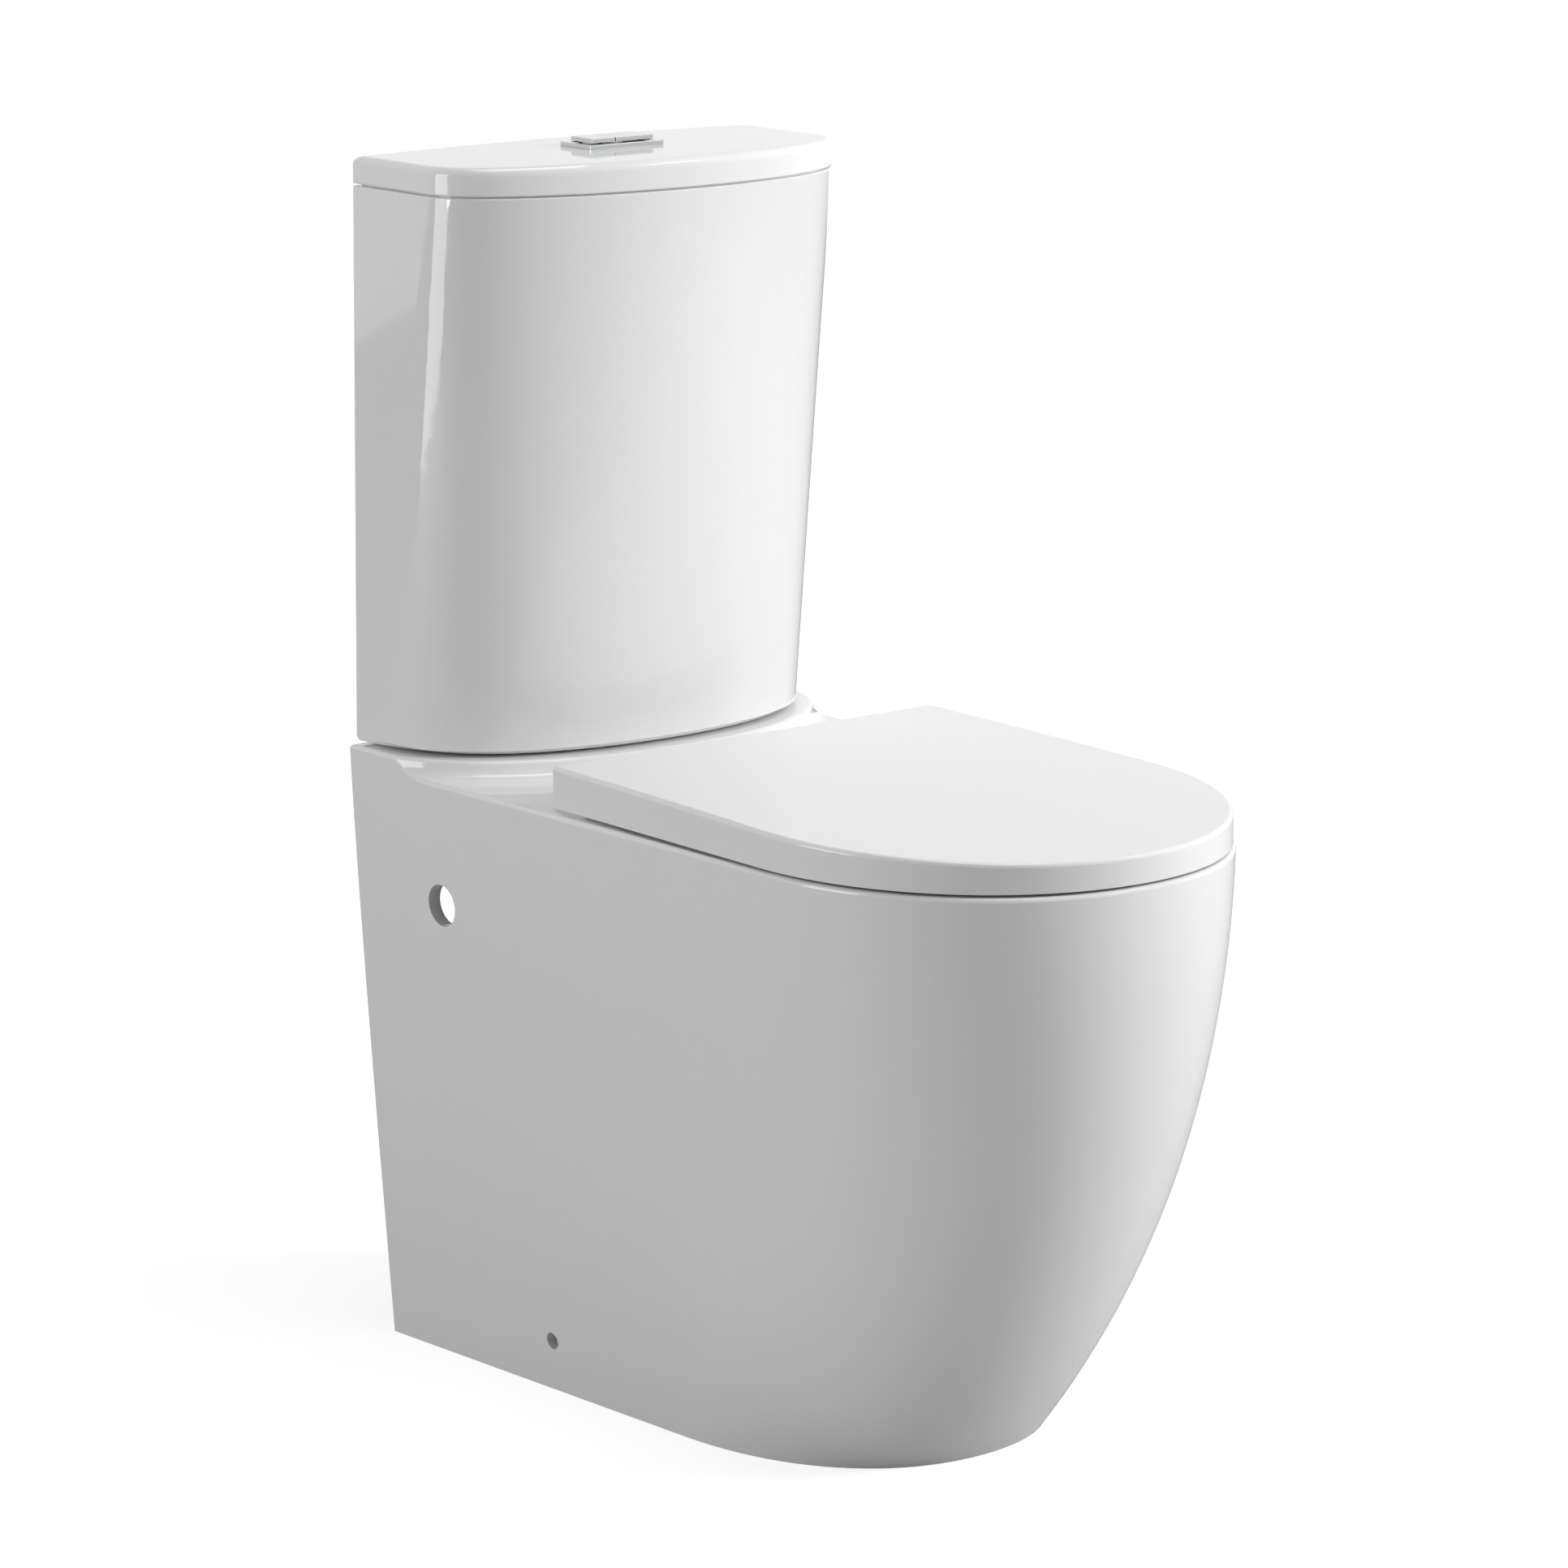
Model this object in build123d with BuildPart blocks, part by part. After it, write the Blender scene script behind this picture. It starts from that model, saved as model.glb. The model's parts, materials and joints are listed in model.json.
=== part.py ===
"""Close-coupled toilet suite: a skirted pan, a ceramic cistern with dual flush, and a soft-close seat.

The origin is on the floor, at the wall plane, on the centre line. The front faces -Y, up is +Z.
"""
from build123d import *
import math
import os

os.makedirs("parts", exist_ok=True)

# Pan: outer form
rim_height = 424.5
plinth_rise = 12.0
pan_front = 633.7
pan_foot_front = 473.0
pan_back_half = 182.6
pan_foot_back_half = 151.5
pan_side_half = 170.8
pan_foot_side_half = 133.0
pan_side_end = 454.0
pan_foot_side_end = 318.0
pan_fullness = 0.58
pan_foot_fullness = 0.60
pan_back_power = 1.15
pan_side_power = 1.62
pan_front_power = 2.32
pan_levels = (0, 0.2, 0.42, 0.65, 0.85, 1)
plinth_front = 150.0
plinth_side_end = 34.0
plinth_cove = 10.0
china_wall = 10.0
deck_thickness = 12.0
rear_return = 12.0
wall_trim = 1.0
rear_opening_half = 132.0
rear_opening_top = 392.0
rear_opening_corner = 30.0
rim_radius = 3.0

# Pan: bowl, trap and outlet
bowl_centre = 442.0
rim_hole_half_width = 113.0
rim_hole_half_length = 140.0
sump_floor = 95.0
sump_half_width = 30.0
sump_half_length = 38.0
sump_centre = 400.0
rim_lip = 7.0
trap_bore = 27.0
trap_wall = 9.0
trap_bend = 38.0
trap_dip_height = 123.0
trap_dip_end = 340.0
weir_height = 229.0
weir_front = 252.0
weir_back = 210.0
outlet_height = 180.0
outlet_front = 170.0
outlet_radius = 51.0
outlet_bore = 43.0
outlet_cone_length = 25.0
outlet_spigot_length = 55.0
outlet_face = 70.0
inlet_radius = 31.0
duct_half_width = 34.0
duct_floor = 384.0
access_radius = 15.0
access_height = 337.0
access_setback = 98.0
floor_fixing_radius = 6.0
floor_fixing_height = 37.0
floor_fixing_setback = 183.0

# Cistern
cistern_gap = 2.0
cistern_top = 828.0
cistern_top_back_half = 172.0
cistern_top_side_end = 84.0
cistern_top_front = 162.4
cistern_top_fullness = 0.575
cistern_foot_back_half = 176.6
cistern_foot_side_half = 173.0
cistern_foot_side_end = 33.0
cistern_foot_front = 134.0
cistern_foot_fullness = 0.62
cistern_floor = 12.0
cistern_foot_radius = 6.0
cistern_foot_chamfer = 3.0
cistern_rim_radius = 1.0
lid_joint_gap = 1.2
lid_seat_inset = 4.0
lid_height = 22.0
lid_crown = 2.0
lid_plate = 10.0
lid_edge_radius = 6.0
lip_depth = 8.0
lip_width = 7.0
lip_clearance = 3.0

# Seat
hinge_setback = 227.0
hinge_height = 441.0
hinge_spacing = 155.0
seat_back = 217.0
seat_back_half = 167.4
seat_side_half = 170.4
seat_side_end = 445.0
seat_front = 633.0
seat_fullness = 0.57
seat_clearance = 2.0
lid_front_top = 445.5
lid_back_top = 455.0
lid_camber = 1.5
seat_lid_plate = 4.0
seat_lid_skirt = 4.5
seat_lid_edge = 3.0
seat_lid_heel = 8.0
seat_overrun = 10.0
ring_gap = 1.5
ring_buffer_height = 4.5
lid_buffer_height = 2.0
buffer_radius = 7.0
ring_buffer_angles = (18, -50)
lid_buffer_angles = (0, -62)
ring_hole_half_width = 106.0
ring_hole_half_length = 130.0
ring_edge = 4.0
hinge_pin_radius = 5.0
knuckle_radius = 8.0
knuckle_width = 24.0
post_width = 13.0
post_foot_radius = 13.0
post_foot_height = 3.5
hinge_side_gap = 1.0
pin_end_wall = 4.0
hinge_bolt_radius = 4.0
hinge_bolt_length = 48.0
hinge_bolt_seat = 7.0
hinge_hole_radius = 7.0
hinge_bush_flange_radius = 12.0
hinge_bush_flange_height = 3.0
hinge_nut_across = 13.0
hinge_nut_height = 6.5

# Flush valve, on the cistern's centre line
valve_setback = 68.0
valve_hole_radius = 31.5
valve_spigot_radius = 30.0
valve_bore = 25.0
valve_flange_radius = 42.0
valve_flange_height = 4.0
valve_nut_radius = 40.0
valve_nut_height = 8.0
valve_tail = 20.0
valve_seat_radius = 28.0
valve_seat_height = 4.0
washer_height = 3.0
coupling_recess_radius = 48.0
coupling_recess_depth = 14.0
coupling_seal_wall = 6.5
tower_radius = 34.0
tower_wall = 2.5
tower_ring_height = 6.0
tower_base = 512.0
tower_top = 690.0
tower_opening_width = 42.0
tower_window_width = 30.0
tower_window_height = 44.0
tower_window_pitch = 58.0
head_height = 5.0
head_upright_width = 8.0
head_upright_thickness = 2.0
head_upright_cap = 5.0
overflow_radius = 14.0
overflow_wall = 2.0
overflow_top = 735.0
overflow_seat_height = 4.5
yoke_overlap = 13.0
yoke_thickness = 2.5
flush_seal_radius = 29.0
flush_seal_height = 2.0
float_seat = 560.0
float_seat_height = 4.0
full_float_radius = 28.0
full_float_height = 60.0
half_float_radius = 12.0
half_float_height = 40.0
half_rod_offset = 49.0
half_rod_radius = 2.5
half_guide_height = 6.0
half_guide_heights = (625.0, 672.0)
lever_height = 757.0
lever_pivot = 21.0
lever_reach = 13.5
lever_inner_end = 6.0
lever_thickness = 5.0
lever_width = 6.0
lever_pin_radius = 1.5
lever_bar_width = 3.5
valve_clearance = 0.5

# Fill valve
fill_offset = 112.0
fill_setback = 56.0
fill_tail_radius = 10.4
fill_tail_length = 44.0
fill_shank_radius = 10.6
fill_shank_length = 10.0
fill_bore = 5.0
fill_flange_radius = 16.0
fill_nut_across = 30.0
fill_stem_radius = 9.0
fill_stem_top = 656.0
fill_stop_radius = 12.0
fill_head_radius = 17.0
fill_head_height = 34.0
fill_head_edge = 3.0
float_radius = 26.0
float_height = 52.0
float_wall = 2.0
float_base = 560.0
float_rod_radius = 1.5
float_lever_length = 36.0
float_lever_width = 8.0
float_lever_thickness = 5.0
float_lever_boss = 3.5
float_lever_rise = 4.5
fill_access_radius = 22.0

# Buttons
bezel_length = 64.0
bezel_depth = 36.0
bezel_height = 3.0
bezel_corner = 1.2
bezel_edge = 0.6
bezel_floor = 0.6
button_inset = 5.5
button_gap = 0.5
half_button_length = 20.0
button_slit = 0.5
button_height = 3.0
button_edge = 0.5
button_reveal = 0.8
rod_offset = 9.2
rod_radius = 3.0
rod_sleeve_radius = 4.2
rod_sleeve_length = 20.0
housing_radius = 16.6
housing_bore = 14.2
housing_length = 32.0
housing_guide = 3.0
housing_nut_radius = 24.0
housing_nut_height = 8.0
stem_radius = 2.5
stem_overhang = 11.0
spring_length = 20.0
spring_wall = 1.2
spring_seat_height = 2.0

# Cistern to pan bolts
tie_spacing = 150.0
tie_radius = 4.0
tie_hole_radius = 6.0
tie_head_radius = 9.0
tie_head_height = 5.0
tie_end = 388.0
tie_washer_radius = 12.0
tie_washer_height = 1.5
wing_nut_radius = 7.0
wing_nut_height = 10.0
wing_span = 30.0
wing_thickness = 2.5
wing_height = 12.0

# Fits
running_clearance = 0.05
slip_clearance = 0.2
loose_clearance = 0.3

# Heights and places that follow from the sizes above
plinth_top = rim_height + plinth_rise
deck_underside = rim_height - deck_thickness
cistern_base = plinth_top + cistern_gap
cistern_floor_top = cistern_base + cistern_floor
lid_bottom = cistern_top + lid_joint_gap
lid_top = cistern_top + lid_height
seat_lid_bottom = rim_height + seat_clearance
valve_centre = (0, -valve_setback)
fill_centre = (fill_offset, -fill_setback)
hinge_places = [(side * hinge_spacing / 2, -hinge_setback) for side in (-1, 1)]
tie_places = [(side * tie_spacing / 2, -valve_setback) for side in (-1, 1)]
cone_end = outlet_face + outlet_spigot_length
cone_start = cone_end + outlet_cone_length
duct_back = valve_setback - inlet_radius
duct_front = bowl_centre - rim_hole_half_length
ring_bottom = rim_height + ring_buffer_height
post_side = (hinge_spacing - post_width) / 2
ring_knuckle_start = post_side - hinge_side_gap - knuckle_width
lid_knuckle_start = post_side + post_width + hinge_side_gap
ring_back = hinge_setback + knuckle_radius + hinge_side_gap
pin_bore = hinge_pin_radius + running_clearance
pin_start = ring_knuckle_start + pin_end_wall
pin_length = lid_knuckle_start + knuckle_width - pin_end_wall - pin_start
flange_bottom = cistern_floor_top + washer_height
flange_top = flange_bottom + valve_flange_height
valve_seat_top = flange_top + valve_seat_height
tube_bottom = valve_seat_top + flush_seal_height
lever_top = lever_height + lever_thickness / 2
lever_end = lever_pivot + lever_reach
lift_bar_bottom = lever_top + valve_clearance
lift_bar_end = lever_end + 2
button_block = bezel_length - 2 * button_inset
button_depth = bezel_depth - 2 * button_inset
button_bottom = lid_top + bezel_height + button_reveal
housing_bottom = lid_top - housing_length
guide_top = housing_bottom + housing_guide
rod_top = housing_bottom - valve_clearance
stem_bottom = housing_bottom - stem_overhang
rod_places = [(side * rod_offset, -valve_setback) for side in (-1, 1)]
float_lever_pivot = fill_offset + fill_stem_radius - 1
float_lever_height = fill_stem_top + fill_head_height + float_lever_rise


def d_outline(back_half, side_half, side_end, front, fullness, back=0.0):
    """Sketch of a D: a flat back, sides that run to side_end, then one full round front."""
    side = Vector(side_half, -side_end)
    along = (side - Vector(back_half, -back)).normalized()
    reach = fullness * (front - side_end)
    with BuildSketch() as outline:
        with BuildLine():
            Line((-back_half, -back), (back_half, -back))
            flank = Line((back_half, -back), side)
            nose = Bezier(side, side + along * reach, (fullness * side_half, -front), (0, -front))
            mirror([flank, nose], about=Plane.YZ)
        make_face()
    return outline.sketch


def eased(top_value, foot_value, height, power):
    """Value at a height when the change is all near the foot and dies away towards the plinth top."""
    drop = 1 - height / plinth_top
    return top_value - (top_value - foot_value) * drop**power


def pan_section(height, inset=0.0, back=0.0):
    """Pan outline at a height; inset makes the same outline smaller by a wall."""
    return d_outline(
        eased(pan_back_half, pan_foot_back_half, height, pan_back_power) - inset,
        eased(pan_side_half, pan_foot_side_half, height, pan_side_power) - inset,
        eased(pan_side_end, pan_foot_side_end, height, pan_side_power),
        eased(pan_front, pan_foot_front, height, pan_front_power) - inset,
        eased(pan_fullness, pan_foot_fullness, height, 1),
        back,
    )


def cistern_section(height, inset=0.0, overrun=0.0):
    """Cistern outline at a height, between the foot and the top; overrun carries it past the wall plane."""
    rise = (height - cistern_base) / (cistern_top - cistern_base)

    def between(foot, top):
        return foot + (top - foot) * rise

    return d_outline(
        between(cistern_foot_back_half, cistern_top_back_half) - inset,
        between(cistern_foot_side_half, cistern_top_back_half) - inset,
        between(cistern_foot_side_end, cistern_top_side_end),
        between(cistern_foot_front, cistern_top_front) - inset,
        between(cistern_foot_fullness, cistern_top_fullness),
        inset - overrun,
    )


def discs(places, bottom, height, outer, inner=0.0):
    """Upright discs, rods or washers of one size at the given places."""
    with BuildPart() as group:
        with BuildSketch(Plane.XY.offset(bottom)):
            with Locations(*places):
                Circle(outer)
                if inner > 0:
                    Circle(inner, mode=Mode.SUBTRACT)
        extrude(amount=height)
    return group.part


def hex_nuts(places, bottom, height, across, bore):
    """Hexagon nuts of one size on upright axes."""
    with BuildPart() as group:
        with BuildSketch(Plane.XY.offset(bottom)):
            with Locations(*places):
                RegularPolygon(across / 2, 6, major_radius=False)
                Circle(bore, mode=Mode.SUBTRACT)
        extrude(amount=height)
    return group.part


def plates(spans, bottom, height):
    """Upright plates of one height, each from (x, y) to (x, y)."""
    with BuildPart() as group:
        with BuildSketch(Plane.XY.offset(bottom)):
            for (x_start, y_start), (x_end, y_end) in spans:
                with Locations(((x_start + x_end) / 2, (y_start + y_end) / 2)):
                    Rectangle(x_end - x_start, y_end - y_start)
        extrude(amount=height)
    return group.part


def along_y(places, length, radius):
    """Round pins that lie along Y, each centred on its (x, y, z) place."""
    with BuildPart() as group:
        with Locations(*places):
            Cylinder(radius, length, rotation=(90, 0, 0))
    return group.part


def both_sides(piece):
    """The right-hand piece and its mirror image on the left."""
    return [piece, piece.mirror(Plane.YZ)]


# Pan: the space in front of the plinth, whose foot is coved
with BuildPart() as plinth_surround:
    with BuildSketch(Plane.XY.offset(rim_height)):
        with Locations((0, -pan_front / 2)):
            Rectangle(3 * pan_front, 2 * pan_front)
        add(d_outline(pan_back_half + 1, pan_back_half + 1, plinth_side_end, plinth_front, pan_fullness, -1),
            mode=Mode.SUBTRACT)
    extrude(amount=2 * plinth_rise)
    cove_edges = plinth_surround.edges().filter_by(
        lambda edge: abs(edge.center().Z - rim_height) < 0.01
        and abs(edge.center().X) <= pan_back_half + 2 and -plinth_front - 1 < edge.center().Y < 0
    )
    fillet(cove_edges, plinth_cove)

# Pan: bowl form; each pair is a share of the height and how far it has opened from sump to rim
bowl_flare = [(1, 1), (0.87, 0.97), (0.65, 0.77), (0.46, 0.48), (0.3, 0.28), (0.14, 0.15), (0, 0)]


def bowl_form(wall):
    """Loft through the bowl's ovals, grown outwards and downwards by a wall."""

    def opened(sump_value, rim_value, share):
        return sump_value + (rim_value - sump_value) * share

    with BuildPart() as form:
        for rise, flare in bowl_flare:
            level = opened(sump_floor - wall, deck_underside, rise)
            with BuildSketch(Plane.XY.offset(level)):
                with Locations((0, -opened(sump_centre, bowl_centre, flare))):
                    Ellipse(
                        opened(sump_half_width, rim_hole_half_width + rim_lip, flare) + wall,
                        opened(sump_half_length, rim_hole_half_length + rim_lip, flare) + wall,
                    )
        loft()
    return form.part


with BuildPart() as bowl_hollow:
    add(bowl_form(0))
    with BuildSketch(Plane.XY.offset(deck_underside)):
        with Locations((0, -bowl_centre)):
            Ellipse(rim_hole_half_width, rim_hole_half_length)
    extrude(amount=2 * deck_thickness)


def trap_pipe(radius):
    """Trapway from the sump, over the weir and down to the outlet."""
    with BuildPart() as pipe:
        with BuildLine(Plane.YZ) as route:
            FilletPolyline(
                (-sump_centre, trap_dip_height),
                (-trap_dip_end, trap_dip_height),
                (-weir_front, weir_height),
                (-weir_back, weir_height),
                (-outlet_front, outlet_height),
                (-cone_start, outlet_height),
                radius=trap_bend,
            )
        with BuildSketch(Plane.XZ.offset(sump_centre)):
            with Locations((0, trap_dip_height)):
                Circle(radius)
        sweep(path=route.wires()[0])
    return pipe.part


def outlet_spigot(pipe_radius, spigot_radius, end):
    """Outlet form: the trap's pipe opening out by a cone into the spigot."""
    with BuildPart() as spigot:
        with BuildSketch(Plane.YZ):
            with BuildLine():
                Polyline(
                    (-cone_start, outlet_height),
                    (-cone_start, outlet_height + pipe_radius),
                    (-cone_end, outlet_height + spigot_radius),
                    (-end, outlet_height + spigot_radius),
                    (-end, outlet_height),
                    close=True,
                )
            make_face()
        revolve(axis=Axis((0, 0, outlet_height), (0, 1, 0)))
    return spigot.part


# Pan: the skirt's inside, open at the foot and at the back
with BuildPart() as pan_cavity:
    for share in pan_levels:
        with BuildSketch(Plane.XY.offset(share * deck_underside)):
            add(pan_section(share * deck_underside, china_wall, rear_return))
    loft()
    with BuildSketch(Plane.XZ.offset(-rear_return)):
        RectangleRounded(2 * rear_opening_half, 2 * rear_opening_top, rear_opening_corner)
    extrude(amount=3 * rear_return)

# Pan: flushing water runs from the cistern's recess along a duct to the back of the bowl
duct_middle = (duct_back + duct_front) / 2
duct_length = duct_front - duct_back
duct_height = deck_underside - duct_floor
with BuildPart() as duct_shell:
    with BuildSketch(Plane.XY.offset(duct_floor - china_wall)):
        with Locations((0, -duct_middle + china_wall)):
            Rectangle(2 * (duct_half_width + china_wall), duct_length)
    extrude(amount=duct_height + 1.5 * china_wall)
    fillet(duct_shell.edges().filter_by(Axis.Y).group_by(Axis.Z)[0], china_wall)

with BuildPart() as duct_bore:
    with BuildSketch(Plane.XY.offset(duct_floor)):
        with Locations((0, -duct_middle)):
            Rectangle(2 * duct_half_width, duct_length)
    extrude(amount=duct_height)
    fillet(duct_bore.edges().filter_by(Axis.Y).group_by(Axis.Z)[0], china_wall / 2)
    with BuildSketch(Plane.XY.offset(duct_floor)):
        with Locations(valve_centre):
            Circle(inlet_radius)
    extrude(amount=plinth_top - duct_floor + 1)
    with BuildSketch(Plane.XY.offset(plinth_top - coupling_recess_depth)):
        with Locations(valve_centre):
            Circle(coupling_recess_radius)
    extrude(amount=coupling_recess_depth + 1)

# Pan
with BuildPart() as pan:
    for share in pan_levels:
        with BuildSketch(Plane.XY.offset(share * plinth_top)):
            add(pan_section(share * plinth_top, back=-wall_trim))
    loft()
    split(bisect_by=Plane.XZ)
    add(plinth_surround.part, mode=Mode.SUBTRACT)
    top_edges = pan.edges().filter_by(
        lambda edge: edge.center().Z > rim_height + 0.01
        or (edge.center().Z > rim_height - 0.01 and edge.center().Y < -plinth_front - 2 * plinth_cove)
    )
    fillet(top_edges, rim_radius)
    add(pan_cavity.part, mode=Mode.SUBTRACT)
    add(bowl_form(china_wall))
    add(duct_shell.part)
    add(trap_pipe(trap_bore + trap_wall))
    add(outlet_spigot(trap_bore + trap_wall, outlet_radius, outlet_face))
    add(bowl_hollow.part, mode=Mode.SUBTRACT)
    add(duct_bore.part, mode=Mode.SUBTRACT)
    add(trap_pipe(trap_bore), mode=Mode.SUBTRACT)
    add(outlet_spigot(trap_bore, outlet_bore, outlet_face - 1), mode=Mode.SUBTRACT)
    with BuildSketch(Plane.YZ):
        with Locations((-access_setback, access_height)):
            Circle(access_radius)
        with Locations((-floor_fixing_setback, floor_fixing_height)):
            Circle(floor_fixing_radius)
    extrude(amount=2 * pan_back_half, both=True, mode=Mode.SUBTRACT)
    with BuildSketch(Plane.XY.offset(deck_underside - 1)):
        with Locations(*hinge_places):
            Circle(hinge_hole_radius)
        with Locations(*tie_places):
            Circle(tie_hole_radius)
        with Locations(fill_centre):
            Circle(fill_access_radius)
    extrude(amount=plinth_top - deck_underside + 2, mode=Mode.SUBTRACT)
pan.part.label = "pan"
export_step(pan.part, "parts/pan.step")

# Cistern body
with BuildPart() as tank_hollow:
    for height in (cistern_floor_top, cistern_top + 1):
        with BuildSketch(Plane.XY.offset(height)):
            add(cistern_section(height, china_wall))
    loft()
    fillet(tank_hollow.edges().group_by(Axis.Z)[0], cistern_foot_radius)

with BuildPart() as cistern_body:
    for height in (cistern_base, cistern_top):
        with BuildSketch(Plane.XY.offset(height)):
            add(cistern_section(height, overrun=wall_trim))
    loft()
    split(bisect_by=Plane.XZ)
    chamfer(cistern_body.edges().group_by(Axis.Z)[0], cistern_foot_chamfer)
    fillet(cistern_body.edges().group_by(Axis.Z)[-1], cistern_rim_radius)
    add(tank_hollow.part, mode=Mode.SUBTRACT)
    with BuildSketch(Plane.XY.offset(cistern_base)):
        with Locations(valve_centre):
            Circle(valve_hole_radius)
        with Locations(*tie_places):
            Circle(tie_hole_radius)
        with Locations(fill_centre):
            Circle(fill_shank_radius + valve_clearance)
    extrude(amount=cistern_floor, mode=Mode.SUBTRACT)
cistern_body.part.label = "cistern_body"
export_step(cistern_body.part, "parts/cistern_body.step")

# Cistern lid: crowned top, a joint line round its foot, and a lip that drops inside the tank
with BuildPart() as lid_crown_form:
    with BuildSketch(Plane.XZ):
        with BuildLine():
            ThreePointArc(
                (-cistern_top_back_half, lid_top - lid_crown), (0, lid_top), (cistern_top_back_half, lid_top - lid_crown)
            )
            Polyline(
                (cistern_top_back_half, lid_top - lid_crown),
                (cistern_top_back_half, cistern_top - lip_depth),
                (-cistern_top_back_half, cistern_top - lip_depth),
                (-cistern_top_back_half, lid_top - lid_crown),
            )
        make_face()
    extrude(amount=cistern_top_front)

lip_outer = china_wall + lip_clearance
lip_inner = lip_outer + lip_width
with BuildPart() as cistern_lid:
    with BuildSketch(Plane.XY.offset(lid_bottom)):
        add(cistern_section(cistern_top))
    extrude(amount=lid_height)
    add(lid_crown_form.part, mode=Mode.INTERSECT)
    fillet(cistern_lid.faces().sort_by(Axis.Z)[-1].edges(), lid_edge_radius)
    fillet(cistern_lid.edges().group_by(Axis.Z)[0], cistern_rim_radius)
    with BuildSketch(Plane.XY.offset(cistern_top)):
        add(cistern_section(cistern_top, lid_seat_inset))
    extrude(amount=2 * lid_joint_gap)
    with BuildSketch(Plane.XY.offset(cistern_top - lip_depth)):
        add(cistern_section(cistern_top, lip_outer))
    extrude(amount=lip_depth + lid_joint_gap)
    with BuildSketch(Plane.XY.offset(cistern_top - lip_depth)):
        add(cistern_section(cistern_top, lip_inner))
    extrude(amount=lip_depth + lid_height - lid_plate, mode=Mode.SUBTRACT)
    with BuildSketch(Plane.XY.offset(cistern_top)):
        with Locations(valve_centre):
            Circle(housing_radius + valve_clearance)
    extrude(amount=lid_height, mode=Mode.SUBTRACT)
cistern_lid.part.label = "cistern_lid"
export_step(cistern_lid.part, "parts/cistern_lid.step")

# Seat: the same side profile shapes the lid's top, the hollow under it and the ring's top
def seat_profile(drop):
    """Slab under a gently arched line that rises from the nose to the hinge, lowered by drop."""
    front = Vector(-seat_front - seat_overrun, lid_front_top - drop)
    rear = Vector(-seat_back + seat_overrun, lid_back_top - drop)
    middle = (front + rear) / 2 + Vector(0, lid_camber)
    with BuildPart() as slab:
        with BuildSketch(Plane.YZ):
            with BuildLine():
                ThreePointArc(front, middle, rear)
                Polyline(rear, (rear.X, deck_underside), (front.X, deck_underside), front)
            make_face()
        extrude(amount=seat_side_half + seat_overrun, both=True)
    return slab.part


def seat_outline(inset, back):
    """Seat outline made smaller by inset, with its flat back at the given distance from the wall."""
    widening = (seat_side_half - seat_back_half) / (seat_side_end - seat_back)
    back_half = seat_back_half + widening * (back - seat_back)
    return d_outline(
        back_half - inset, seat_side_half - inset, seat_side_end, seat_front - inset, seat_fullness, back
    )


def across_hinge(start, width, radius):
    """Round lug on the hinge line, from start outwards on the right-hand side."""
    with BuildPart() as lug:
        with BuildSketch(Plane.YZ.offset(start)):
            with Locations((-hinge_setback, hinge_height)):
                Circle(radius)
        extrude(amount=width)
    return lug.part


# Seat lid: a slim shell whose skirt hides the ring
with BuildPart() as lid_hollow:
    with BuildSketch(Plane.XY.offset(rim_height)):
        add(seat_outline(seat_lid_skirt, seat_back - 1))
    extrude(amount=2 * (lid_back_top - rim_height))
    add(seat_profile(seat_lid_plate), mode=Mode.INTERSECT)

with BuildPart() as seat_lid:
    with BuildSketch(Plane.XY.offset(seat_lid_bottom)):
        add(seat_outline(0, seat_back))
    extrude(amount=2 * (lid_back_top - seat_lid_bottom))
    add(seat_profile(0), mode=Mode.INTERSECT)
    fillet(seat_lid.edges().filter_by(Axis.Z), seat_lid_edge)
    fillet(seat_lid.faces().sort_by(Axis.Z)[-1].edges(), seat_lid_edge)
    add(lid_hollow.part, mode=Mode.SUBTRACT)
    with BuildSketch(Plane.YZ):
        with Locations((-seat_back, seat_lid_bottom)):
            Rectangle(seat_lid_heel, seat_lid_heel, align=(Align.MAX, Align.MIN))
        with Locations((-seat_back - seat_lid_heel, seat_lid_bottom + seat_lid_heel)):
            Circle(seat_lid_heel, mode=Mode.SUBTRACT)
    extrude(amount=seat_side_half, both=True, mode=Mode.SUBTRACT)
    with BuildSketch(Plane.YZ.offset(lid_knuckle_start)):
        with Locations((-hinge_setback, hinge_height)):
            Circle(knuckle_radius)
            Rectangle(2 * knuckle_radius, lid_back_top - seat_lid_plate - hinge_height + 1,
                      align=(Align.CENTER, Align.MIN))
    knuckle = extrude(amount=knuckle_width)
    mirror(knuckle, about=Plane.YZ)
    add(both_sides(across_hinge(lid_knuckle_start, knuckle_width - pin_end_wall, pin_bore)), mode=Mode.SUBTRACT)
seat_lid.part.label = "seat_lid"
export_step(seat_lid.part, "parts/seat_lid.step")

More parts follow.
